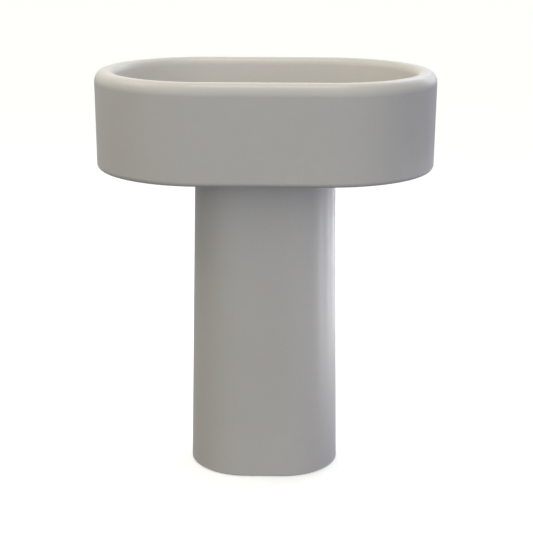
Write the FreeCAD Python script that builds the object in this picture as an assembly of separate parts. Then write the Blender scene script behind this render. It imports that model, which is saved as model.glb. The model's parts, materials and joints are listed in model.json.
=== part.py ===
"""Oval pedestal sink: a cast basin bolted on a hollow cast column, with its waste, plug and bottle trap.

Millimetres. The origin is the middle of the foot on the floor, +Z is up and +Y points at the wall behind.
Each function builds one sub-part, and the last lines write one STEP file for each.
"""

import FreeCAD, Part
import math
import os

V = FreeCAD.Vector
UP = V(0, 0, 1)
ORIGIN = V(0, 0, 0)

# Overall
RIM_HEIGHT = 850.0
BASIN_HEIGHT = 200.0
BASIN_WIDTH = 700.0
BASIN_DEPTH = 450.0
FLOOR_SEAL = 2.0  # soft ring between the column and the floor
BASIN_SEAL = 3.0  # soft ring between the column and the basin

# Basin casting
RIM_THICKNESS = 40.0
RIM_OUTER_REACH = 18.0  # each side of the rim is a quarter of an ellipse: this far across
RIM_OUTER_DROP = 24.0  # and this far down
RIM_INNER_REACH = 13.0
RIM_INNER_DROP = 16.0
BASIN_FOOT_ROUND = 9.0
BASIN_TAPER = 1.5  # the outside draws in by this much on each side, rim to underside
BOWL_TAPER = 3.0  # degrees that the bowl's wall leans in
BOWL_CORNER = 36.0  # round between the bowl's wall and its floor
BOWL_DISH = 5200.0  # sphere radius of the gently dished floor
BOWL_DEPTH = 160.0  # rim to drain
DRAIN_HOLE = 23.0
DRAIN_RECESS = 34.0
DRAIN_RECESS_DEPTH = 3.0
NUT_POCKET = 50.0
NUT_POCKET_DEPTH = 10.0

# Column casting
COLUMN_WIDTH = 316.0
COLUMN_DEPTH = 240.0
COLUMN_TAPER = 12.0  # each side draws in by this much, floor to top
COLUMN_WALL = 25.0
DECK_THICKNESS = 30.0
DECK_HOLE = 52.0
SERVICE_WIDTH = 150.0
SERVICE_BOTTOM = 60.0
SERVICE_TOP = 590.0
SERVICE_CORNER = 38.0
SERVICE_EDGE_ROUND = 3.0
END_CHAMFER = 1.5

# Fixings
BOLT_X = 90.0
BOLT_Y = 45.0
BOLT_RADIUS = 4.95
INSERT_RADIUS = 7.0
INSERT_LENGTH = 25.0
WASHER_THICKNESS = 2.0
BOLT_HEAD_FLATS = 16.0
BOLT_HEAD_HEIGHT = 6.4
LUG_X = 104.0
LUG_HALF_Y = 28.0
LUG_HEIGHT = 30.0
BUSH_RADIUS = 7.0
FLOOR_SCREW_HOLE = 5.25

# Waste and plug
THREAD_GAP = 0.05
TAIL_RADIUS = 20.95
TAIL_BORE = 18.5
FLANGE_RADIUS = 32.0
FLANGE_SEAL = 1.0
TAIL_BOTTOM = 612.0
PLUG_LIFT = 9.0  # open height of the plug above its seat
PLUG_RADIUS = 23.0
STEM_RADIUS = 3.0
CARTRIDGE_RADIUS = 6.5
CHAMBER_RADIUS = 5.3

# Bottle trap
PIPE_RADIUS = 16.0
PIPE_WALL = 1.0
RUNNING_GAP = 0.1
NUT_FLATS = 46.0
TRAP_RADIUS = 32.0
TRAP_WALL = 2.0
FLUTE_COUNT = 24
OUTLET_HEIGHT = 508.0
DIP_END = 414.0
CUP_TOP = 480.0
PIPE_START = 20.0
PIPE_END = 222.0
MARK_FROM_END = 30.0

# Worked out
BASIN_BOTTOM = RIM_HEIGHT - BASIN_HEIGHT
COLUMN_BOTTOM = FLOOR_SEAL
COLUMN_TOP = BASIN_BOTTOM - BASIN_SEAL
DECK_BOTTOM = COLUMN_TOP - DECK_THICKNESS
DRAIN_TOP = RIM_HEIGHT - BOWL_DEPTH
RECESS_FLOOR = DRAIN_TOP - DRAIN_RECESS_DEPTH
POCKET_TOP = BASIN_BOTTOM + NUT_POCKET_DEPTH
BASIN_END = BASIN_DEPTH / 2
SPINE = (BASIN_WIDTH - BASIN_DEPTH) / 2  # half the straight side of the oval
FLANGE_FOOT = RECESS_FLOOR + FLANGE_SEAL
BOLT_PLACES = [(x, y) for x in (-BOLT_X, BOLT_X) for y in (-BOLT_Y, BOLT_Y)]


# ---- shared shapes ----


def oval(width, depth, z, inset=0.0):
    """Closed wire with two straight sides and two half-round ends, lying level at z."""
    half = (width - depth) / 2
    r = depth / 2 - inset
    corners = [V(-half, -r, z), V(half, -r, z), V(half, r, z), V(-half, r, z)]
    return Part.Wire([
        Part.LineSegment(corners[0], corners[1]).toShape(),
        Part.Arc(corners[1], V(half + r, 0, z), corners[2]).toShape(),
        Part.LineSegment(corners[2], corners[3]).toShape(),
        Part.Arc(corners[3], V(-half - r, 0, z), corners[0]).toShape(),
    ])


def oval_block(width, depth, z0, z1, inset0=0.0, inset1=0.0):
    """Solid between two ovals, drawn in by inset0 at z0 and by inset1 at z1."""
    wires = [oval(width, depth, z0, inset0), oval(width, depth, z1, inset1)]
    return Part.makeLoft(wires, True, True)


def sweep_oval(edges, half):
    """Carries a closed profile, drawn at x = 0 with -y as the distance out, round the basin's oval."""
    face = Part.Face(Part.Wire(edges))
    front = face.translated(V(-half, 0, 0)).extrude(V(2 * half, 0, 0))
    right = face.translated(V(half, 0, 0)).revolve(V(half, 0, 0), UP, 180)
    back = front.copy()
    back.rotate(ORIGIN, UP, 180)
    left = right.copy()
    left.rotate(ORIGIN, UP, 180)
    return front.fuse([right, back, left]).removeSplitter()


def line(a, b):
    """Profile edge between two (radius, z) points."""
    return Part.LineSegment(V(0, -a[0], a[1]), V(0, -b[0], b[1])).toShape()


def quarter(centre, radius, start, end):
    """Profile arc round a (radius, z) centre, between two angles in degrees."""
    points = []
    for angle in (start, (start + end) / 2, end):
        a = math.radians(angle)
        points.append(V(0, -(centre[0] + radius * math.cos(a)), centre[1] + radius * math.sin(a)))
    return Part.Arc(*points).toShape()


def rim_turn(side, crown, drop):
    """Profile quarter ellipse that turns the rim over, from its top at crown down to its side."""
    centre, top = V(0, -crown, RIM_HEIGHT - drop), V(0, -crown, RIM_HEIGHT)
    flank = V(0, -side, RIM_HEIGHT - drop)
    long_end, short_end = (top, flank) if drop > abs(side - crown) else (flank, top)
    return Part.ArcOfEllipse(Part.Ellipse(long_end, short_end, centre), 0, math.pi / 2).toShape()


def turned(points, at=(0.0, 0.0)):
    """Solid of revolution about a vertical line, from a closed outline of (radius, z) points."""
    outline = [V(r, 0, z) for r, z in points]
    face = Part.Face(Part.makePolygon(outline + outline[:1]))
    solid = face.revolve(ORIGIN, UP, 360)
    return solid.translated(V(at[0], at[1], 0))


def turned_y(points, z):
    """Solid of revolution about the line along Y at height z, from (radius, y) points."""
    solid = turned(points)
    solid.rotate(ORIGIN, V(1, 0, 0), -90)
    return solid.translated(V(0, 0, z))


def ring(inner, outer, z0, z1, at=(0.0, 0.0)):
    return turned([(inner, z0), (outer, z0), (outer, z1), (inner, z1)], at)


def rod(radius, z0, z1, at=(0.0, 0.0)):
    return Part.makeCylinder(radius, z1 - z0, V(at[0], at[1], z0))


def hex_block(flats, z0, z1, at=(0.0, 0.0)):
    """Six-sided prism with its corners turned off at both ends."""
    corner = flats / math.sqrt(3)
    steps = [math.radians(60 * k) for k in range(7)]
    points = [V(corner * math.cos(a), corner * math.sin(a), z0) for a in steps]
    prism = Part.Face(Part.makePolygon(points)).extrude(V(0, 0, z1 - z0))
    flat = flats / 2
    drop = (corner - flat) * 0.6
    cone = turned([(0, z0), (flat, z0), (corner, z0 + drop), (corner, z1 - drop), (flat, z1), (0, z1)])
    return prism.common(cone).translated(V(at[0], at[1], 0))


def together(solids):
    return Part.makeCompound(solids)


# ---- castings ----


def bowl_half(z):
    """Half the bowl's depth in Y at height z: the wall leans in towards the floor."""
    lean = math.tan(math.radians(BOWL_TAPER))
    return BASIN_END - RIM_THICKNESS - (RIM_HEIGHT - RIM_INNER_DROP - z) * lean


def basin_block():
    """The basin's outside, still solid: straight sides and a broad round at the rim."""
    top, bottom = RIM_HEIGHT, BASIN_BOTTOM
    outside, foot = BASIN_END, BASIN_END - BASIN_TAPER
    crown = outside - RIM_OUTER_REACH
    shoulder = top - RIM_OUTER_DROP
    r = BASIN_FOOT_ROUND
    return sweep_oval([
        line((0, bottom), (foot - r, bottom)),
        quarter((foot - r, bottom + r), r, -90, 0),
        line((foot, bottom + r), (outside, shoulder)),
        rim_turn(outside, crown, RIM_OUTER_DROP),
        line((crown, top), (0, top)),
        line((0, top), (0, bottom)),
    ], SPINE)


def bowl_space():
    """The bowl's hollow: rounded over at the rim, with a dished floor and a round where they meet."""
    low, lip, top = DRAIN_TOP - 20, RIM_HEIGHT - RIM_INNER_DROP, RIM_HEIGHT
    crown = bowl_half(lip) + RIM_INNER_REACH
    space = sweep_oval([
        line((0, low), (bowl_half(low), low)),
        line((bowl_half(low), low), (bowl_half(lip), lip)),
        rim_turn(bowl_half(lip), crown, RIM_INNER_DROP),
        line((crown, top), (crown, top + 2)),
        line((crown, top + 2), (0, top + 2)),
        line((0, top + 2), (0, low)),
    ], SPINE)
    dish = Part.makeSphere(BOWL_DISH)
    dish.rotate(ORIGIN, V(1, 0, 0), 90)
    space = space.common(dish.translated(V(0, 0, DRAIN_TOP + BOWL_DISH))).Solids[0]
    floor_rim = [edge for edge in space.Edges if edge.BoundBox.ZMax < DRAIN_TOP + 20]
    return space.makeFillet(BOWL_CORNER, floor_rim)


def basin():
    bottom = BASIN_BOTTOM
    cuts = [
        bowl_space(),
        rod(DRAIN_HOLE, bottom - 1, DRAIN_TOP + 1),
        rod(DRAIN_RECESS, RECESS_FLOOR, DRAIN_TOP + 2),
        rod(NUT_POCKET, bottom - 1, POCKET_TOP),
    ]
    cuts += [rod(INSERT_RADIUS, bottom - 1, bottom + INSERT_LENGTH, p) for p in BOLT_PLACES]
    return basin_block().cut(cuts).removeSplitter()


def column_inset(z):
    """How far the column's outside has drawn in at height z."""
    return COLUMN_TAPER * (z - COLUMN_BOTTOM) / (COLUMN_TOP - COLUMN_BOTTOM)


def on_column_outside(point):
    beyond = max(abs(point.x) - (COLUMN_WIDTH - COLUMN_DEPTH) / 2, 0)
    radius = COLUMN_DEPTH / 2 - column_inset(point.z)
    return abs(math.hypot(beyond, point.y) - radius) < 0.5


def floor_lugs():
    """Two solid blocks inside the foot, rounded at their inner end, that the floor screws go through."""
    start = LUG_X - LUG_HALF_Y
    length = COLUMN_WIDTH / 2 - COLUMN_WALL / 2 - start
    right = Part.makeBox(length, 2 * LUG_HALF_Y, LUG_HEIGHT, V(start, -LUG_HALF_Y, COLUMN_BOTTOM))
    inner = [edge for edge in right.Edges if edge.BoundBox.ZLength > 1 and edge.BoundBox.XMax < LUG_X]
    right = right.makeFillet(LUG_HALF_Y * 0.8, inner)
    left = right.copy()
    left.rotate(ORIGIN, UP, 180)
    return [left, right]


def service_block():
    """What is taken out of the column's back: a tall opening with round corners."""
    corner = V(-SERVICE_WIDTH / 2, COLUMN_DEPTH / 4, SERVICE_BOTTOM)
    block = Part.makeBox(SERVICE_WIDTH, COLUMN_DEPTH, SERVICE_TOP - SERVICE_BOTTOM, corner)
    return block.makeFillet(SERVICE_CORNER, [edge for edge in block.Edges if edge.BoundBox.YLength > 1])


def column():
    size = (COLUMN_WIDTH, COLUMN_DEPTH)
    body = oval_block(*size, COLUMN_BOTTOM, COLUMN_TOP, 0, COLUMN_TAPER)
    body = body.makeChamfer(END_CHAMFER, [edge for edge in body.Edges if edge.BoundBox.ZLength < 0.1])
    floor, ceiling = COLUMN_BOTTOM - 1, DECK_BOTTOM
    hollow = oval_block(*size, floor, ceiling, COLUMN_WALL + column_inset(floor),
                        COLUMN_WALL + column_inset(ceiling))
    body = body.cut(hollow).fuse(floor_lugs())

    lug_top = COLUMN_BOTTOM + LUG_HEIGHT
    cuts = [service_block(), rod(DECK_HOLE, DECK_BOTTOM - 1, COLUMN_TOP + 1)]
    cuts += [rod(BOLT_RADIUS + 1, DECK_BOTTOM - 1, COLUMN_TOP + 1, p) for p in BOLT_PLACES]
    cuts += [rod(BUSH_RADIUS, COLUMN_BOTTOM - 1, lug_top + 1, (side * LUG_X, 0)) for side in (-1, 1)]
    body = body.cut(cuts).Solids[0]

    brim = []
    for edge in body.Edges:
        box = edge.BoundBox
        in_opening = box.ZMin > SERVICE_BOTTOM - 1 and box.ZMax < SERVICE_TOP + 1 and box.YMin > 0
        middle = edge.valueAt((edge.FirstParameter + edge.LastParameter) / 2)
        if in_opening and abs(middle.x) < SERVICE_WIDTH / 2 + 1 and on_column_outside(middle):
            brim.append(edge)
    return body.makeFillet(SERVICE_EDGE_ROUND, brim)


# ---- soft rings under and over the column ----


def floor_seal():
    outer = oval_block(COLUMN_WIDTH, COLUMN_DEPTH, 0, FLOOR_SEAL, 4, 4)
    inner = oval_block(COLUMN_WIDTH, COLUMN_DEPTH, -1, FLOOR_SEAL + 1, 21, 21)
    return outer.cut(inner)


def basin_seal():
    size = (COLUMN_WIDTH, COLUMN_DEPTH)
    outer = oval_block(*size, COLUMN_TOP, BASIN_BOTTOM, COLUMN_TAPER + 6, COLUMN_TAPER + 6)
    inner = oval_block(*size, COLUMN_TOP - 1, BASIN_BOTTOM + 1, COLUMN_TAPER + 26, COLUMN_TAPER + 26)
    return outer.cut(inner)


# ---- fixings ----


def basin_inserts():
    top = BASIN_BOTTOM + INSERT_LENGTH
    bore = BOLT_RADIUS + THREAD_GAP
    return together([
        turned([(bore, BASIN_BOTTOM), (INSERT_RADIUS, BASIN_BOTTOM), (INSERT_RADIUS, top), (0, top),
                (0, top - 2), (bore, top - 2)], p)
        for p in BOLT_PLACES
    ])


def basin_bolts():
    seat = DECK_BOTTOM - WASHER_THICKNESS
    bolts = []
    for p in BOLT_PLACES:
        head = hex_block(BOLT_HEAD_FLATS, seat - BOLT_HEAD_HEIGHT, seat, p)
        tip = BASIN_BOTTOM + INSERT_LENGTH - 4
        shank = turned([(0, seat), (BOLT_RADIUS, seat), (BOLT_RADIUS, tip - 1), (BOLT_RADIUS - 1, tip),
                        (0, tip)], p)
        bolts.append(head.fuse(shank))
    return together(bolts)


def bolt_washers():
    low = DECK_BOTTOM - WASHER_THICKNESS
    return together([ring(BOLT_RADIUS + 0.35, 11, low, DECK_BOTTOM, p) for p in BOLT_PLACES])


def floor_bushes():
    top = COLUMN_BOTTOM + LUG_HEIGHT
    outline = [(FLOOR_SCREW_HOLE, COLUMN_BOTTOM), (BUSH_RADIUS, COLUMN_BOTTOM), (BUSH_RADIUS, top),
               (11, top), (11, top + 1.5), (10.5, top + 2), (FLOOR_SCREW_HOLE, top + 2)]
    return together([turned(outline, (side * LUG_X, 0)) for side in (-1, 1)])


# ---- waste fitting ----


def waste_body():
    foot = FLANGE_FOOT
    seat_low = foot - 2.5
    shell = turned([
        (TAIL_BORE, TAIL_BOTTOM), (TAIL_RADIUS - 0.8, TAIL_BOTTOM), (TAIL_RADIUS, TAIL_BOTTOM + 0.8),
        (TAIL_RADIUS, foot - 6), (DRAIN_HOLE - 0.4, foot - 6), (DRAIN_HOLE - 0.4, foot),
        (FLANGE_RADIUS, foot), (FLANGE_RADIUS, foot + 1.0), (FLANGE_RADIUS - 0.5, foot + 2.0),
        (FLANGE_RADIUS - 2.5, foot + 2.9), (PLUG_RADIUS + 3, foot + 3.3), (PLUG_RADIUS + 1, foot + 3.0),
        (TAIL_BORE + 1, seat_low), (TAIL_BORE, seat_low - 1.5),
    ])
    bar_low, bar_high = POCKET_TOP - 10, POCKET_TOP - 4
    boss = rod(8, bar_low, bar_high)
    bars = []
    for k in range(3):
        bar = Part.makeBox(TAIL_BORE + 0.5 - 4, 3, bar_high - bar_low, V(4, -1.5, bar_low))
        bar.rotate(ORIGIN, UP, 120 * k)
        bars.append(bar)
    spider = boss.fuse(bars).cut(rod(4.5, bar_low - 1, bar_high + 1))
    return shell.fuse(spider)


def flange_seal():
    return ring(DRAIN_HOLE + 0.5, FLANGE_RADIUS - 1, RECESS_FLOOR, FLANGE_FOOT)


def lower_seal():
    return turned([(TAIL_RADIUS + 0.1, POCKET_TOP - 4), (31, POCKET_TOP - 4), (33, POCKET_TOP - 2),
                   (33, POCKET_TOP), (TAIL_RADIUS + 0.1, POCKET_TOP)])


def slip_washer():
    return ring(TAIL_RADIUS + 0.1, 32, POCKET_TOP - 5.5, POCKET_TOP - 4)


def waste_backnut():
    low, high = POCKET_TOP - 16.5, POCKET_TOP - 5.5
    collar = rod(31, high - 2, high)
    nut = hex_block(56, low, high - 2).fuse(collar)
    return nut.cut(rod(TAIL_RADIUS + THREAD_GAP, low - 1, high + 1))


# ---- plug and its push mechanism, drawn open ----


def plug_cap():
    low = FLANGE_FOOT + 2.6 + PLUG_LIFT
    r = PLUG_RADIUS
    dome = turned([(0, low), (r - 0.6, low), (r, low + 0.6), (r, low + 1.8), (r - 0.5, low + 2.3),
                   (r * 0.75, low + 2.9), (r * 0.4, low + 3.3), (0, low + 3.4)])
    boss = rod(9, low - 8, low)
    return dome.fuse(boss).cut(rod(STEM_RADIUS + THREAD_GAP, low - 9, low - 1))


def plug_seal():
    top = FLANGE_FOOT + 2.6 + PLUG_LIFT
    return turned([(9.05, top - 3.2), (20.4, top - 3.2), (20.7, top - 2.9), (22.4, top - 0.5),
                   (22.2, top), (9.05, top)])


def plug_stem():
    cap_low = FLANGE_FOOT + 2.6 + PLUG_LIFT
    foot = cartridge_levels()["ceiling"] - 0.5
    return turned([(0, foot - 3), (CHAMBER_RADIUS - 0.15, foot - 3), (CHAMBER_RADIUS - 0.15, foot),
                   (STEM_RADIUS, foot), (STEM_RADIUS, cap_low - 1), (0, cap_low - 1)])


def cartridge_levels():
    seat = POCKET_TOP - 4  # top of the cross bars that carry it
    return {"seat": seat, "floor": seat + 3, "ceiling": seat + 22, "top": seat + 25}


def click_cartridge():
    z = cartridge_levels()
    c, b = CARTRIDGE_RADIUS, CHAMBER_RADIUS
    return turned([
        (0, z["seat"] - 10), (3.8, z["seat"] - 10), (4.45, z["seat"] - 9), (4.45, z["seat"]),
        (c, z["seat"]), (c, z["top"] - 0.8), (c - 0.8, z["top"]), (STEM_RADIUS + 0.05, z["top"]),
        (STEM_RADIUS + 0.05, z["ceiling"]), (b, z["ceiling"]), (b, z["floor"]), (0, z["floor"]),
    ])


def click_spring():
    z = cartridge_levels()
    wire, mean = 0.4, 4.2
    low = z["floor"] + wire + 0.1
    high = z["ceiling"] - 3.5 - wire - 0.1
    turns = 6
    path = Part.Wire(Part.makeHelix((high - low) / turns, high - low, mean).Edges)
    circle = Part.Wire(Part.makeCircle(wire, V(mean, 0, 0), V(0, 1, 0)))
    coil = path.makePipeShell([circle], True, True)
    return coil.translated(V(0, 0, low))


# ---- bottle trap ----


def inlet_tube():
    collar_top = TAIL_BOTTOM - 3.3
    r, bore = PIPE_RADIUS, PIPE_RADIUS - PIPE_WALL
    return turned([(bore, DIP_END), (r, DIP_END), (r, collar_top - 2.7), (19.7, collar_top - 2.7),
                   (19.7, collar_top), (bore, collar_top)])


def tail_washer():
    return ring(PIPE_RADIUS - 0.5, 19.9, TAIL_BOTTOM - 3, TAIL_BOTTOM)


def tail_nut():
    low, high = TAIL_BOTTOM - 10, TAIL_BOTTOM + 8
    body = hex_block(NUT_FLATS + 2, low, high)
    body = body.cut(rod(PIPE_RADIUS + RUNNING_GAP, low - 1, high))
    return body.cut(rod(TAIL_RADIUS + THREAD_GAP, TAIL_BOTTOM - 6.3, high + 1))


def trap_body():
    r, w = TRAP_RADIUS, TRAP_WALL
    low, shoulder, neck, top = CUP_TOP - 18, 528.0, 540.0, 562.0
    shell = turned([
        (r - w, low), (r, low), (r, shoulder), (r - 3, shoulder + 6), (24, neck - 1), (21, neck),
        (21, top), (PIPE_RADIUS + 0.6, top), (PIPE_RADIUS + 0.6, neck - 2), (22.5, neck - 3.5),
        (r - 3 - w, shoulder + 4), (r - w, shoulder - 1),
    ])
    branch = turned_y([(0, 24), (23.5, 24), (23.5, 34), (21, 37), (21, 54), (0, 54)], OUTLET_HEIGHT)
    cavity = rod(r - w, low - 1, shoulder - 1)
    branch = branch.cut(cavity)
    guide = turned_y([(0, 15), (PIPE_RADIUS + RUNNING_GAP, 15), (PIPE_RADIUS + RUNNING_GAP, 60), (0, 60)],
                     OUTLET_HEIGHT)
    return shell.fuse(branch).cut(guide)


def gland_nut():
    """Compression nut standing on z = 0, with its threaded mouth down."""
    body = hex_block(NUT_FLATS, 0, 18)
    collar = turned([(0, 14), (21.5, 14), (21.5, 20), (20.5, 21), (0, 21)])
    body = body.fuse(collar)
    return body.cut([rod(21.0 + THREAD_GAP, -1, 14), rod(PIPE_RADIUS + RUNNING_GAP, 13, 22)])


def gland_seal():
    """Tapered rubber ring for a compression nut, standing on z = 0."""
    inner = PIPE_RADIUS + RUNNING_GAP / 2
    return turned([(inner, 0), (20.6, 0), (20.6, 1.6), (18.6, 4), (inner, 4)])


def laid_back(shape, y):
    """Turns a shape that stands on z = 0 so that it points along +Y from y, on the outlet's line."""
    shape.rotate(ORIGIN, V(1, 0, 0), -90)
    return shape.translated(V(0, y, OUTLET_HEIGHT))


def trap_top_nut():
    return gland_nut().translated(V(0, 0, 552))


def trap_top_seal():
    return gland_seal().translated(V(0, 0, 562))


def outlet_nut():
    return laid_back(gland_nut(), 44)


def outlet_seal():
    return laid_back(gland_seal(), 54)


def trap_cup():
    """Cup with a fluted grip, screwed on the trap's lower end. Its outline is drawn down from its top."""
    r = TRAP_RADIUS + RUNNING_GAP
    grip = 37.5
    outline = [
        (r, 0), (grip - 1, 0), (grip, 1), (grip, 24), (grip - 1, 26), (34, 28), (34, 82),
        (31, 93), (24, 99), (12, 101.5), (0, 102), (0, 99), (11, 98.5), (22, 96), (28.5, 91),
        (31, 81), (31, 22), (r, 21),
    ]
    cup = turned([(radius, CUP_TOP - drop) for radius, drop in outline])
    flutes = []
    for k in range(FLUTE_COUNT):
        a = 2 * math.pi * k / FLUTE_COUNT
        at = ((grip + 0.6) * math.cos(a), (grip + 0.6) * math.sin(a))
        flutes.append(rod(1.6, CUP_TOP - 27, CUP_TOP + 1, at))
    return cup.cut(flutes)


def cup_seal():
    return ring(30.2, TRAP_RADIUS, CUP_TOP - 21, CUP_TOP - 18.3)


def outlet_pipe():
    r, bore = PIPE_RADIUS, PIPE_RADIUS - PIPE_WALL
    mark = PIPE_END - MARK_FROM_END
    return turned_y([(bore, PIPE_START), (r, PIPE_START), (r, mark - 1), (r - 0.3, mark - 0.7),
                     (r - 0.3, mark - 0.3), (r, mark), (r, PIPE_END), (bore, PIPE_END)], OUTLET_HEIGHT)


def wall_flange():
    inner = PIPE_RADIUS + RUNNING_GAP
    y = 176.0
    return turned_y([
        (inner, y), (18.5, y), (19, y + 0.5), (19, y + 5), (28, y + 9), (36.5, y + 10.2), (38, y + 11.5),
        (38, y + 14), (36.8, y + 14), (36.8, y + 12), (35.5, y + 11.4), (27.5, y + 10.2), (17.8, y + 6),
        (inner, y + 6),
    ], OUTLET_HEIGHT)


BUILDERS = [
    basin, column, floor_seal, basin_seal,
    basin_inserts, basin_bolts, bolt_washers, floor_bushes,
    waste_body, flange_seal, lower_seal, slip_washer, waste_backnut,
    plug_cap, plug_seal, plug_stem, click_cartridge, click_spring,
    inlet_tube, tail_washer, tail_nut,
    trap_body, trap_top_nut, trap_top_seal, outlet_nut, outlet_seal,
    trap_cup, cup_seal, outlet_pipe, wall_flange,
]

os.makedirs("parts", exist_ok=True)
for build in BUILDERS:
    shape = build()
    shape.exportStep(f"parts/{build.__name__}.step")
    box = shape.BoundBox
    print(f"{build.__name__:18s} solids {len(shape.Solids)} valid {shape.isValid()} "
          f"volume {shape.Volume / 1000:9.2f} cm3  z {box.ZMin:7.1f} to {box.ZMax:7.1f}")
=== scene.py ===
"""Looks for the oval pedestal sink: cast stone, chromed plumbing, sealant, a pale studio and the camera.

Metres, in the frame of the CAD model: the foot stands on z = 0 and the front faces -Y.
"""

import json
import math

import bmesh
import bpy
from mathutils import Matrix, Vector, noise


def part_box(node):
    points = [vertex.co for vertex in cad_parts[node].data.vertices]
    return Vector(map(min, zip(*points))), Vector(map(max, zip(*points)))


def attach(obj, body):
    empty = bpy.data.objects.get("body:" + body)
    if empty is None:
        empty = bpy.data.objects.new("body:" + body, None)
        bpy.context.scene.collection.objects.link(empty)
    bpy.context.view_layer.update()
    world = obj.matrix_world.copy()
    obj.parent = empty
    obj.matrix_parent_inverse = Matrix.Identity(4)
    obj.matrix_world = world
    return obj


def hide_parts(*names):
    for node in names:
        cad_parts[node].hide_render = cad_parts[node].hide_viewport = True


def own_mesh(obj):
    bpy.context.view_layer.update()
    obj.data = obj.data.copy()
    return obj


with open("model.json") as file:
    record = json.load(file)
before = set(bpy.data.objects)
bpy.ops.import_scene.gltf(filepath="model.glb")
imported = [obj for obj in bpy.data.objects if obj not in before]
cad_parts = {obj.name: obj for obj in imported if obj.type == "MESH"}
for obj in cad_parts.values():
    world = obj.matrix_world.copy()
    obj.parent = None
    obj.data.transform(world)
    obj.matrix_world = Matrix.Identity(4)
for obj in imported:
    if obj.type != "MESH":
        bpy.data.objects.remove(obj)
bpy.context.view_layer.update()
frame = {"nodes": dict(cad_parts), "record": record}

NODES = frame["nodes"]
SCENE = bpy.context.scene
MM = 0.001

# Where things are, read from the frame
BASIN_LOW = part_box("basin")[0]
COLUMN_LOW, COLUMN_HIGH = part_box("column")
COLUMN_FOOT_ROUND = COLUMN_HIGH.y
COLUMN_SPINE = COLUMN_HIGH.x - COLUMN_HIGH.y
OUTLET_HEIGHT = sum(corner.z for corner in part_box("outlet_pipe")) / 2

# Measures that no box gives
SEAT_ROUND = 108 * MM  # the column's half depth at its top

# Camera
CAMERA_PLACE = Vector((0.042, -2.780, 1.210))
CAMERA_DOWN = 0.2732  # radians below the horizon
CAMERA_LEFT = 0.0139  # radians from +Y towards -X
CAMERA_ROLL = 0.0041  # radians
CAMERA_LENS = 91.7  # millimetres
CAMERA_SENSOR = 36.0

# World light: (colour, axis, where it starts, where it is full), along that axis of the direction, -1 to 1
WORLD_PARTS = [
    ((0.23, 0.21, 0.10), "Z", -0.02, 0.02),
    ((0.77, 0.80, 0.80), "Y", 0.0, -1.0),
    ((0.98, 1.04, 1.11), "Y", 0.0, 1.0),
    ((0.08, 0.09, 0.26), "X", 0.0, 1.0),
]
WORLD_BELOW = 0.5  # share of it that also comes from below the horizon
HORIZON_BLUR = 0.05
BACKDROP_GLOW = 0.45
FLOOR_ROUND = 14.0  # the studio floor is flat as far out as this
SWEEP_ROUND = 6.0  # and then sweeps up with this radius
SWEEP_STEPS = 16
WALL_HEIGHT = 40.0

# Softboxes: name, place, point aimed at, (width, height), watts, colour
SINK_MIDDLE = (0, 0, 0.6)
BASIN_RIM = (0, 0, 0.8)
BASIN_RIGHT = (0.2, 0, 0.8)
SOFTBOXES = [
    ("overhead", (0, -0.45, 2.9), BASIN_RIM, (1.0, 0.5), 13.5, (1.0, 0.98, 0.90)),
    ("overhead_left", (-1.6, 0.1, 2.5), BASIN_RIM, (1.2, 1.2), 13, (1.0, 0.90, 0.87)),
    ("left", (-2.4, -2.0, 1.0), SINK_MIDDLE, (1.4, 1.6), 2.5, (1.0, 0.80, 0.82)),
    ("front", (0.3, -3.4, 1.5), SINK_MIDDLE, (3.0, 0.9), 5.6, (0.15, 0.45, 1.0)),
    ("window_high", (1.1, 2.0, 2.2), BASIN_RIGHT, (1.0, 1.0), 9, (0.60, 0.78, 1.0)),
    ("window_side", (1.9, 2.0, 1.4), BASIN_RIGHT, (0.8, 1.2), 7.0, (0.9, 1.0, 1.0)),
]

# Low lights that brighten the column's right edge: name, radians from +X towards +Y, height aimed at, watts
SILL_LIGHTS = [
    ("window_sill", 0.0, 0.34, 0.12),
    ("window_low", 0.45, 0.32, 0.12),
    ("window_back", 0.90, 0.36, 0.065),
]
SILL_REACH = 1.55
SILL_HEIGHT = 0.08
SILL_SIZE = (0.3, 0.5)
SILL_COLOUR = (0.96, 0.98, 1.0)
SILL_SPREAD = 26  # degrees
COLUMN_SIDE = 0.1  # how far right of the middle they aim

# Sockets of a Mix node that mixes colours
MIX_FACTOR, MIX_FIRST, MIX_SECOND = 0, 6, 7
MIX_COLOUR = 2

LATHE_STEPS = 144
CREASE_ANGLE = math.radians(38)


# ---- studio ----


def look_along(place, right, up, forward):
    """World matrix of a camera that looks along its own -Z."""
    axes = Matrix((right, up, -forward)).transposed().to_4x4()
    return Matrix.Translation(place) @ axes


def add_camera():
    data = bpy.data.cameras.new("camera")
    data.lens = CAMERA_LENS
    data.sensor_width = CAMERA_SENSOR
    data.clip_end = 50.0
    camera = bpy.data.objects.new("camera", data)
    SCENE.collection.objects.link(camera)
    pitch, yaw, roll = CAMERA_DOWN, -CAMERA_LEFT, CAMERA_ROLL
    forward = Vector((math.sin(yaw) * math.cos(pitch), math.cos(yaw) * math.cos(pitch), -math.sin(pitch)))
    level = Vector((math.cos(yaw), -math.sin(yaw), 0.0))
    up = level.cross(forward)
    right = math.cos(roll) * level + math.sin(roll) * up
    up = math.cos(roll) * up - math.sin(roll) * level
    camera.matrix_world = look_along(CAMERA_PLACE, right, up, forward)
    SCENE.camera = camera


def add_softbox(name, place, target, size, power, colour, spread=180.0):
    """Rectangular area light at place that faces target. size is (width, height) in metres."""
    data = bpy.data.lights.new(name, "AREA")
    data.shape = "RECTANGLE"
    data.size, data.size_y = size
    data.energy = power
    data.color = colour
    data.spread = math.radians(spread)
    light = bpy.data.objects.new(name, data)
    SCENE.collection.objects.link(light)
    light.location = place
    light.rotation_euler = (Vector(target) - Vector(place)).to_track_quat("-Z", "Y").to_euler()


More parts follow.
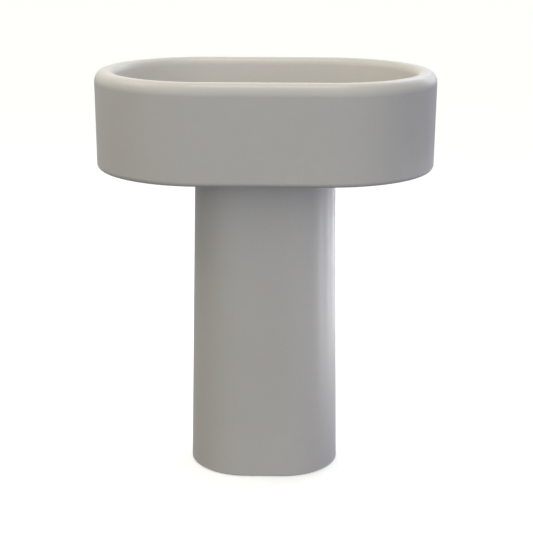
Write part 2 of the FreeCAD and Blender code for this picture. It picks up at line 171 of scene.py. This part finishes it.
def add_world():
    """Even light from pale walls before, behind and on the right, with a little more from above."""
    world = bpy.data.worlds.new("studio")
    world.use_nodes = True
    SCENE.world = world
    tree = world.node_tree
    split = tree.nodes.new("ShaderNodeSeparateXYZ")
    tree.links.new(tree.nodes.new("ShaderNodeTexCoord").outputs["Generated"], split.inputs[0])
    total = None
    for colour, axis, start, end in WORLD_PARTS:
        share = tree.nodes.new("ShaderNodeMapRange")
        share.inputs["From Min"].default_value = start
        share.inputs["From Max"].default_value = end
        tree.links.new(split.outputs[axis], share.inputs["Value"])
        layer = tree.nodes.new("ShaderNodeMix")
        layer.data_type = "RGBA"
        layer.blend_type = "ADD"
        layer.inputs[MIX_FIRST].default_value = (0.0, 0.0, 0.0, 1.0)
        layer.inputs[MIX_SECOND].default_value = (*colour, 1.0)
        tree.links.new(share.outputs["Result"], layer.inputs[MIX_FACTOR])
        if total:
            tree.links.new(total, layer.inputs[MIX_FIRST])
        total = layer.outputs[MIX_COLOUR]
    strength = tree.nodes.new("ShaderNodeMapRange")
    strength.inputs["From Min"].default_value = -HORIZON_BLUR
    strength.inputs["From Max"].default_value = HORIZON_BLUR
    strength.inputs["To Min"].default_value = WORLD_BELOW
    tree.links.new(split.outputs["Z"], strength.inputs["Value"])
    background = tree.nodes["Background"]
    tree.links.new(total, background.inputs["Color"])
    tree.links.new(strength.outputs["Result"], background.inputs["Strength"])


def add_backdrop():
    """Round studio floor that sweeps up into a wall. Only the camera sees it, so it throws no light back."""
    work = bmesh.new()
    sweep = [math.radians(90) * k / SWEEP_STEPS for k in range(SWEEP_STEPS + 1)]
    outline = [(0.0, 0.0), (FLOOR_ROUND, 0.0)]
    outline += [(FLOOR_ROUND + SWEEP_ROUND * math.sin(a), SWEEP_ROUND * (1 - math.cos(a))) for a in sweep[1:]]
    outline.append((FLOOR_ROUND + SWEEP_ROUND, WALL_HEIGHT))
    rings = [[work.verts.new((0, 0, 0))]]
    for r, z in outline[1:]:
        angles = [2 * math.pi * k / LATHE_STEPS for k in range(LATHE_STEPS)]
        rings.append([work.verts.new((r * math.cos(a), r * math.sin(a), z)) for a in angles])
    for lower, upper in zip(rings, rings[1:]):
        join_rings(work, lower, upper)
    mesh = bpy.data.meshes.new("studio_backdrop")
    work.to_mesh(mesh)
    work.free()
    mesh.shade_smooth()
    mesh.materials.append(studio_paper())
    backdrop = bpy.data.objects.new("studio_backdrop", mesh)
    SCENE.collection.objects.link(backdrop)
    backdrop.visible_diffuse = False
    backdrop.visible_glossy = False
    backdrop.visible_shadow = False


def add_studio():
    SCENE.view_settings.view_transform = "Standard"
    add_world()
    add_backdrop()
    for name, place, target, size, power, colour in SOFTBOXES:
        add_softbox(name, place, target, size, power, colour)
    for name, turn, aim, power in SILL_LIGHTS:
        place = (SILL_REACH * math.cos(turn), SILL_REACH * math.sin(turn), SILL_HEIGHT)
        add_softbox(name, place, (COLUMN_SIDE, 0, aim), SILL_SIZE, power, SILL_COLOUR, SILL_SPREAD)


# ---- material tools ----


class Look:
    """A Principled material being built. Its textures follow the object's own coordinates, in metres."""

    def __init__(self, name):
        self.material = bpy.data.materials.new(name)
        self.material.use_nodes = True
        self.tree = self.material.node_tree
        self.shader = self.tree.nodes["Principled BSDF"]
        self.place = self.tree.nodes.new("ShaderNodeTexCoord").outputs["Object"]

    def join(self, source, socket):
        """Feeds a socket from another socket, or sets it to a plain value."""
        if isinstance(source, bpy.types.NodeSocket):
            self.tree.links.new(source, socket)
        else:
            socket.default_value = source

    def set(self, name, source):
        self.join(source, self.shader.inputs[name])

    def stretched(self, factors):
        """The object's coordinates with each axis scaled, for marks that run one way."""
        mapping = self.tree.nodes.new("ShaderNodeMapping")
        mapping.inputs["Scale"].default_value = factors
        self.join(self.place, mapping.inputs["Vector"])
        return mapping.outputs["Vector"]

    def noise(self, scale, detail=2.0, place=None):
        node = self.tree.nodes.new("ShaderNodeTexNoise")
        node.inputs["Scale"].default_value = scale
        node.inputs["Detail"].default_value = detail
        self.join(place or self.place, node.inputs["Vector"])
        return node.outputs[0]

    def cells(self, scale):
        """Distance to the nearest of scattered points, and a random value for each point."""
        node = self.tree.nodes.new("ShaderNodeTexVoronoi")
        node.inputs["Scale"].default_value = scale
        self.join(self.place, node.inputs["Vector"])
        split = self.tree.nodes.new("ShaderNodeSeparateColor")
        self.join(node.outputs["Color"], split.inputs[0])
        return node.outputs["Distance"], split.outputs[0]

    def ramp(self, source, low, high, to_low=0.0, to_high=1.0):
        """Carries low..high on to to_low..to_high, and holds it there beyond."""
        node = self.tree.nodes.new("ShaderNodeMapRange")
        node.inputs["From Min"].default_value = low
        node.inputs["From Max"].default_value = high
        node.inputs["To Min"].default_value = to_low
        node.inputs["To Max"].default_value = to_high
        self.join(source, node.inputs["Value"])
        return node.outputs["Result"]

    def maths(self, operation, *sources):
        node = self.tree.nodes.new("ShaderNodeMath")
        node.operation = operation
        for source, socket in zip(sources, node.inputs):
            self.join(source, socket)
        return node.outputs[0]

    def blend(self, factor, first, second):
        """Colour between first and second."""
        node = self.tree.nodes.new("ShaderNodeMix")
        node.data_type = "RGBA"
        self.join(factor, node.inputs[MIX_FACTOR])
        for source, socket in ((first, MIX_FIRST), (second, MIX_SECOND)):
            self.join((*source, 1.0) if isinstance(source, tuple) else source, node.inputs[socket])
        return node.outputs[MIX_COLOUR]

    def scattered(self, scale, size, share):
        """Mask of small round spots: points this dense, this large, and only this share of them."""
        distance, chance = self.cells(scale)
        spot = self.ramp(distance, size * 0.5, size, 1.0, 0.0)
        return self.maths("MULTIPLY", spot, self.maths("LESS_THAN", chance, share))

    def bump(self, height, depth, under=None):
        """Normal that stands a height texture up by depth metres, on top of another normal."""
        node = self.tree.nodes.new("ShaderNodeBump")
        node.inputs["Strength"].default_value = 1.0
        node.inputs["Distance"].default_value = depth
        self.join(height, node.inputs["Height"])
        if under is not None:
            self.join(under, node.inputs["Normal"])
        return node.outputs["Normal"]


def shade(colour, factor):
    return tuple(channel * factor for channel in colour)


# ---- materials ----

STONE = (0.600, 0.580, 0.556)
STONE_BLUSH = (0.618, 0.571, 0.552)
RAW_STONE = (0.520, 0.495, 0.455)
PAPER, PAPER_PALE = (0.86, 0.86, 0.86), (0.90, 0.90, 0.90)
CHROME, CHROME_HAZE = (0.80, 0.81, 0.82), (0.74, 0.75, 0.77)
BRASS, BRASS_TARNISH = (0.74, 0.57, 0.29), (0.55, 0.39, 0.19)
ZINC, ZINC_SPANGLE = (0.58, 0.59, 0.61), (0.67, 0.67, 0.66)
RUBBER, RUBBER_BLOOM = (0.030, 0.030, 0.033), (0.075, 0.075, 0.078)
SEALANT, SEALANT_PALE = (0.55, 0.53, 0.50), (0.62, 0.60, 0.57)
NYLON, NYLON_PALE = (0.80, 0.79, 0.75), (0.88, 0.88, 0.86)
CARTRIDGE, CARTRIDGE_PALE = (0.86, 0.86, 0.83), (0.91, 0.91, 0.89)

# Where polished stone gives way to the raw casting: depth into the column's wall, height up the basin
COLUMN_POLISH_EDGE = (4 * MM, 9 * MM)
BASIN_POLISH_EDGE = (0.5 * MM, 3 * MM)


def studio_paper():
    """Pale paper that glows a little, so the floor and the wall come out nearly white."""
    look = Look("studio_paper")
    grain = look.noise(scale=40.0, detail=4.0)
    look.set("Base Color", look.blend(look.ramp(grain, 0.3, 0.7), PAPER, PAPER_PALE))
    look.set("Roughness", 0.9)
    look.set("Emission Color", (1.0, 1.0, 1.0, 1.0))
    look.set("Emission Strength", BACKDROP_GLOW)
    return look.material


def inside_column(look):
    """Mask that is 1 on the column's unpolished inside and 0 on its outer face."""
    split = look.tree.nodes.new("ShaderNodeSeparateXYZ")
    look.join(look.place, split.inputs[0])
    x, y, z = split.outputs
    beyond = look.maths("MAXIMUM", look.maths("SUBTRACT", look.maths("ABSOLUTE", x), COLUMN_SPINE), 0.0)
    reach = look.maths("SQRT", look.maths("ADD", look.maths("POWER", beyond, 2.0),
                                          look.maths("POWER", y, 2.0)))
    outer = look.ramp(z, COLUMN_LOW.z, COLUMN_HIGH.z, COLUMN_FOOT_ROUND, SEAT_ROUND)
    deep = look.maths("SUBTRACT", outer, reach)
    return look.ramp(deep, *COLUMN_POLISH_EDGE)


def under_basin(look):
    """Mask that is 1 on the basin's unpolished underside and 0 above it."""
    split = look.tree.nodes.new("ShaderNodeSeparateXYZ")
    look.join(look.place, split.inputs[0])
    start, end = BASIN_POLISH_EDGE
    return look.ramp(split.outputs["Z"], BASIN_LOW.z + start, BASIN_LOW.z + end, 1.0, 0.0)


def cast_stone(name, unpolished):
    """Satin cast stone: faint clouds, warmer blotches and mineral grains.

    It is left rough and pitted where the mask that unpolished(look) makes is 1.
    """
    look = Look(name)
    raw = unpolished(look)
    clouds = look.ramp(look.noise(scale=5.0, detail=3.0), 0.32, 0.68)
    blotches = look.ramp(look.noise(scale=32.0, detail=4.0), 0.34, 0.66)
    polished = look.blend(clouds, shade(STONE, 0.978), shade(STONE, 1.022))
    polished = look.blend(look.maths("MULTIPLY", blotches, 0.75), polished, STONE_BLUSH)
    polished = look.blend(look.scattered(scale=520.0, size=0.26, share=0.22), polished, shade(STONE, 0.80))
    polished = look.blend(look.scattered(scale=410.0, size=0.26, share=0.22), polished, shade(STONE, 1.16))
    streaks = look.ramp(look.noise(scale=9.0, detail=6.0), 0.35, 0.65)
    rough_cast = look.blend(streaks, shade(RAW_STONE, 0.90), shade(RAW_STONE, 1.08))
    look.set("Base Color", look.blend(raw, polished, rough_cast))

    buffing = look.ramp(look.noise(scale=24.0, detail=5.0), 0.3, 0.7, 0.36, 0.44)
    dull = look.maths("MULTIPLY", raw, 0.38)
    look.set("Roughness", look.maths("ADD", buffing, dull))
    look.set("Coat Weight", 0.06)
    look.set("Coat Roughness", 0.16)

    wave = look.bump(look.noise(scale=11.0, detail=1.0), 0.35 * MM)
    peel = look.bump(look.noise(scale=330.0, detail=3.0), 0.012 * MM, wave)
    grit_depth = look.maths("MULTIPLY", raw, look.noise(scale=260.0, detail=6.0))
    grit = look.bump(grit_depth, 0.5 * MM, peel)
    pits = look.maths("MULTIPLY", raw, look.scattered(scale=170.0, size=0.30, share=0.35))
    look.set("Normal", look.bump(look.maths("SUBTRACT", 1.0, pits), 0.8 * MM, grit))
    return look.material


def chrome():
    """Polished chrome with a faint haze of water marks and hairline wiping marks."""
    look = Look("chrome")
    haze = look.ramp(look.noise(scale=26.0, detail=5.0), 0.45, 0.75)
    look.set("Base Color", look.blend(haze, CHROME, CHROME_HAZE))
    look.set("Metallic", 1.0)
    marks = look.ramp(look.noise(scale=90.0, detail=4.0), 0.50, 0.75, 0.0, 0.07)
    look.set("Roughness", look.maths("ADD", look.ramp(haze, 0.0, 1.0, 0.07, 0.15), marks))
    hairlines = look.noise(scale=700.0, detail=2.0, place=look.stretched((1.0, 1.0, 0.06)))
    look.set("Normal", look.bump(hairlines, 0.004 * MM))
    return look.material


def turned_brass():
    """Machined brass: fine turning rings and a slightly browner tarnish in patches."""
    look = Look("turned_brass")
    tarnish = look.ramp(look.noise(scale=55.0, detail=5.0), 0.42, 0.72)
    look.set("Base Color", look.blend(tarnish, BRASS, BRASS_TARNISH))
    look.set("Metallic", 1.0)
    look.set("Roughness", look.ramp(tarnish, 0.0, 1.0, 0.24, 0.42))
    rings = look.noise(scale=1500.0, detail=1.0, place=look.stretched((0.02, 0.02, 1.0)))
    look.set("Normal", look.bump(rings, 0.02 * MM))
    return look.material


def plated_steel():
    """Zinc-plated steel: pale spangle and a dull, slightly uneven shine."""
    look = Look("plated_steel")
    spangle = look.ramp(look.noise(scale=260.0, detail=3.0), 0.35, 0.65)
    look.set("Base Color", look.blend(spangle, ZINC, ZINC_SPANGLE))
    look.set("Metallic", 1.0)
    look.set("Roughness", look.ramp(look.noise(scale=120.0, detail=4.0), 0.3, 0.7, 0.26, 0.40))
    look.set("Normal", look.bump(look.noise(scale=900.0, detail=2.0), 0.01 * MM))
    return look.material


def black_rubber():
    """Moulded rubber: matt, with bloom in pale patches and a fine grain."""
    look = Look("black_rubber")
    bloom = look.ramp(look.noise(scale=85.0, detail=5.0), 0.45, 0.80)
    look.set("Base Color", look.blend(bloom, RUBBER, RUBBER_BLOOM))
    look.set("Roughness", look.ramp(bloom, 0.0, 1.0, 0.58, 0.78))
    look.set("Normal", look.bump(look.noise(scale=1300.0, detail=3.0), 0.05 * MM))
    return look.material


def sealant():
    """Smoothed sealant in the stone's own tone, with tooling ripples."""
    look = Look("sealant")
    tone = look.ramp(look.noise(scale=60.0, detail=3.0), 0.35, 0.65)
    look.set("Base Color", look.blend(tone, SEALANT, SEALANT_PALE))
    look.set("Roughness", look.ramp(look.noise(scale=140.0, detail=3.0), 0.3, 0.7, 0.34, 0.50))
    look.set("Normal", look.bump(look.noise(scale=210.0, detail=2.0), 0.15 * MM))
    return look.material


def nylon():
    """Pale moulded nylon washer: faint flow marks and a soft sheen."""
    look = Look("nylon")
    flow = look.ramp(look.noise(scale=120.0, detail=4.0), 0.35, 0.70)
    look.set("Base Color", look.blend(flow, NYLON, NYLON_PALE))
    look.set("Roughness", look.ramp(flow, 0.0, 1.0, 0.42, 0.58))
    look.set("Normal", look.bump(look.noise(scale=800.0, detail=2.0), 0.02 * MM))
    return look.material


def cartridge_plastic():
    """Smooth white cartridge plastic with faint sink marks."""
    look = Look("cartridge_plastic")
    tone = look.ramp(look.noise(scale=90.0, detail=2.0), 0.35, 0.65)
    look.set("Base Color", look.blend(tone, CARTRIDGE, CARTRIDGE_PALE))
    look.set("Roughness", look.ramp(look.noise(scale=300.0, detail=3.0), 0.3, 0.7, 0.20, 0.32))
    look.set("Normal", look.bump(look.noise(scale=110.0, detail=1.0), 0.06 * MM))
    return look.material


# ---- mesh tools ----


def rounded(corners, steps=6):
    """Closed outline whose (radius, height, round) corners are turned over, given in millimetres."""
    points = []
    count = len(corners)
    for k, (r, z, turn) in enumerate(corners):
        corner = Vector((r, z))
        if not turn:
            points.append(corner * MM)
            continue
        before = Vector(corners[k - 1][:2]) - corner
        after = Vector(corners[(k + 1) % count][:2]) - corner
        start = corner + before.normalized() * min(turn, before.length * 0.5)
        end = corner + after.normalized() * min(turn, after.length * 0.5)
        for step in range(steps + 1):
            t = step / steps
            points.append(((1 - t) ** 2 * start + 2 * t * (1 - t) * corner + t * t * end) * MM)
    return points


def lathe(outline, shape=None):
    """Mesh of revolution about +Z from a closed outline. shape(angle, radius, height) may change a radius."""
    work = bmesh.new()
    rings = []
    for r, z in outline:
        if r < 1e-6:
            rings.append([work.verts.new((0, 0, z))])
            continue
        ring = []
        for k in range(LATHE_STEPS):
            angle = 2 * math.pi * k / LATHE_STEPS
            reach = shape(angle, r, z) if shape else r
            ring.append(work.verts.new((reach * math.cos(angle), reach * math.sin(angle), z)))
        rings.append(ring)
    for lower, upper in zip(rings, rings[1:] + rings[:1]):
        join_rings(work, lower, upper)
    return work


def join_rings(work, lower, upper):
    """Faces between two rings of points, either of which may be a single point on the axis."""
    if len(lower) == len(upper) == 1:
        return
    count = max(len(lower), len(upper))
    for k in range(count):
        n = (k + 1) % count
        corners = [lower[k % len(lower)], lower[n % len(lower)], upper[n % len(upper)], upper[k % len(upper)]]
        work.faces.new(dict.fromkeys(corners))


def wound(section, turns, steps, low, high):
    """Mesh of a section wound round +Z from one height to another. section(k) gives its corners at step k."""
    work = bmesh.new()
    last = None
    for k in range(steps + 1):
        angle = 2 * math.pi * turns * k / steps
        out = Vector((math.cos(angle), math.sin(angle), 0))
        middle = low + (high - low) * k / steps
        row = [work.verts.new(out * r + Vector((0, 0, middle + rise))) for r, rise in section(k)]
        if last:
            join_rings(work, last, row)
        else:
            work.faces.new(row)
        last = row
    work.faces.new(last)
    return work


def add_piece(name, work, material, body, replaced=(), place=None):
    """Makes the built mesh a piece of the object that rides on a body."""
    bmesh.ops.recalc_face_normals(work, faces=work.faces)
    mesh = bpy.data.meshes.new(name)
    work.to_mesh(mesh)
    work.free()
    if place:
        mesh.transform(place)
    mesh.shade_smooth()
    mesh.set_sharp_from_angle(angle=CREASE_ANGLE)
    mesh.materials.append(material)
    piece = bpy.data.objects.new(name, mesh)
    SCENE.collection.objects.link(piece)
    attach(piece, body)
    if replaced:
        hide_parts(*replaced)
    return piece


def on_oval(spine, radius, share):
    """Point, and direction out, at a share of the way round an oval with straight sides."""
    straight, bend = 2 * spine, math.pi * radius
    travel = share * 2 * (straight + bend)
    side = 1.0
    if travel >= straight + bend:
        travel -= straight + bend
        side = -1.0
    if travel < straight:
        place, out = Vector((travel - spine, -radius, 0)), Vector((0, -1, 0))
    else:
        angle = (travel - straight) / radius - math.pi / 2
        out = Vector((math.cos(angle), math.sin(angle), 0))
        place = Vector((spine, 0, 0)) + out * radius
    return place * side, out * side


# ---- pieces ----


def plug_cap(material):
    """Pressed plug with a shallow dome, a rolled edge and a threaded boss under it."""
    low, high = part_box("plug_cap")
    boss, boss_round = 8.0, 9.0
    rise = (high.z - low.z) / MM - boss
    edge = high.x / MM
    bore, roof = 3.05, -1.0
    sag, steps = 1.2, 16
    inward = [1 - k / steps for k in range(2, steps)]
    dome = [(edge * share, rise - sag * share ** 2, 0) for share in inward]
    outline = rounded([
        (bore, -boss, 0), (boss_round, -boss, 0.5), (boss_round, 0, 0.4), (edge, 0, 0.6),
        (edge, rise - 1.0, 1.0), *dome, (0, rise, 0), (0, roof, 0), (bore, roof, 0),
    ])
    place = Matrix.Translation((0, 0, low.z + boss * MM))
    add_piece("plug_cap_domed", lathe(outline), material, "plug", ["plug_cap"], place)


def wall_flange(material):
    """Spun cover plate that slides along the outlet pipe, with a rolled outer edge."""
    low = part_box("wall_flange")[0]
    bore, collar, edge = 16.1, 19, 38
    depth, sheet = 14, 1.2
    outline = rounded([
        (bore, 0, 0.3), (collar, 0, 0.6), (collar, 5.5, 1.6), (28, 9, 4), (edge, 10.5, 2.2),
        (edge, depth, 0.4), (edge - sheet, depth, 0.4), (edge - sheet, 11.8, 1.2), (27.5, 10.2, 4),
        (collar - sheet, 6, 1.2), (bore, 6, 0.3),
    ])
    lay_back = Matrix.Rotation(math.radians(-90), 4, "X")
    place = Matrix.Translation((0, low.y, OUTLET_HEIGHT)) @ lay_back
    flange = lathe(outline)
    add_piece("wall_flange_spun", flange, material, "rosette", ["wall_flange"], place)


def trap_cup(material):
    """Trap cup with a scalloped grip and a round bottom."""
    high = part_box("trap_cup")[1]
    flutes, flute_depth = 24, 0.9 * MM
    grip_round, grip_foot = 36 * MM, -25.5 * MM  # the grip is outside this radius and above this height

    def scalloped(angle, radius, height):
        on_grip = radius > grip_round and height > grip_foot
        dip = flute_depth * (0.5 + 0.5 * math.cos(flutes * angle)) ** 3 if on_grip else 0.0
        return radius - dip

    widest = high.x / MM
    outer, inner, mouth = 34, 31, 32.1
    outline = rounded([
        (mouth, 0, 0.4), (widest, 0, 1.2), (widest, -12, 0), (widest, -26, 2.0), (outer, -28.5, 2.0),
        (outer, -83, 14), (25, -99.5, 12), (0, -102, 0), (0, -99, 0), (22, -96.5, 10), (inner, -81, 12),
        (inner, -22, 0.5), (mouth, -21, 0.3),
    ], 10)
    place = Matrix.Translation((0, 0, high.z))
    cup = lathe(outline, scalloped)
    add_piece("trap_cup_fluted", cup, material, "cup", ["trap_cup"], place)


def waste_thread(material):
    """The waste's thread where it shows between its two nuts: one ridge wound round the tail."""
    gap = 0.6 * MM
    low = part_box("tail_nut")[1].z + gap
    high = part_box("waste_backnut")[0].z - gap
    pitch, root, crest = 1.8 * MM, 20.8 * MM, 21.8 * MM
    foot = 0.42 * pitch  # half the ridge's width at its foot
    rim = 0.2 * foot  # and half the width between the edges of its crest
    rim_drop = 0.1 * MM
    run_out, least = 40, 0.2  # steps over which the ridge fades at its ends, and the share of it left there
    turns = (high - low) / pitch
    steps = int(turns * 72)

    def ridge(k):
        fade = min(1.0, k / run_out, (steps - k) / run_out)
        top = root + (crest - root) * max(fade, least)
        edge = top - rim_drop
        return [(root, -foot), (edge, -rim), (top, 0), (edge, rim), (root, foot)]

    thread = wound(ridge, turns, steps, low, high)
    add_piece("waste_tail_thread", thread, material, "pedestal")


def sealant_bead(name, node, spine, material):
    """Bead of sealant squeezed out in an oval, with an edge that wanders a little."""
    low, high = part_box(node)
    outer = high.y
    width = 17 * MM
    thick = high.z - low.z
    wander, bulge = 0.6 * MM, 0.9 * MM
    slow, quick = 45, 160  # how fast the edge wanders, per metre
    rounds = 7
    work = bmesh.new()
    rows = []
    steps = 360
    for k in range(steps):
        place, out = on_oval(spine, outer, k / steps)
        ripple = wander * noise.noise(place * slow) + 0.25 * wander * noise.noise(place * quick)
        row = []
        for j in range(rounds):
            angle = math.pi * (j / (rounds - 1) - 0.5)
            reach = ripple + bulge * (math.cos(angle) - 1)
            row.append(place + out * reach + Vector((0, 0, low.z + thick * (0.5 + 0.5 * math.sin(angle)))))
        row.append(place - out * width + Vector((0, 0, high.z)))
        row.append(place - out * width + Vector((0, 0, low.z)))
        rows.append([work.verts.new(p) for p in row])
    for k in range(steps):
        join_rings(work, rows[k], rows[(k + 1) % steps])
    add_piece(name, work, material, "pedestal", [node])


def click_spring(material):
    """Coil under the plug's stem. Its foot stays in the cartridge, and it is built at the length of the CAD
    node it replaces.
    """
    low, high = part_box("click_spring")
    wire = 0.4 * MM  # radius
    mean = high.x - wire
    turns, sides = 6, 12
    steps = 36 * turns
    angles = [2 * math.pi * j / sides for j in range(sides)]
    section = [(mean + wire * math.cos(a), wire * math.sin(a)) for a in angles]
    work = wound(lambda k: section, turns, steps, low.z + wire, high.z - wire)
    coil = add_piece("click_spring_coil", work, material, "pedestal", ["click_spring"])
    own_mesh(coil)


# ---- the object ----


def paint(metal, steel, rubber):
    """Gives the CAD nodes their materials. Sealant has none here, because the beads stand for its nodes."""
    brass = turned_brass()
    washer, cartridge = nylon(), cartridge_plastic()
    by_slot = {
        "chrome_fitting": metal, "brass_fitting": brass, "steel_fixing": steel, "rubber_seal": rubber,
        "plastic_washer": washer, "cartridge": cartridge,
        "basin": cast_stone("cast_stone_basin", under_basin),
        "column": cast_stone("cast_stone_column", inside_column),
    }
    for part in frame["record"]["subparts"]:
        if part["material_slot"] in by_slot:
            materials = NODES[part["node"]].data.materials
            materials.clear()
            materials.append(by_slot[part["material_slot"]])


add_camera()
add_studio()
shiny = chrome()
zinc = plated_steel()
paint(shiny, zinc, black_rubber())
plug_cap(shiny)
wall_flange(shiny)
trap_cup(shiny)
waste_thread(shiny)
click_spring(zinc)
seal = sealant()
sealant_bead("foot_sealant_bead", "floor_seal", COLUMN_SPINE, seal)
sealant_bead("basin_sealant_bead", "basin_seal", COLUMN_SPINE, seal)
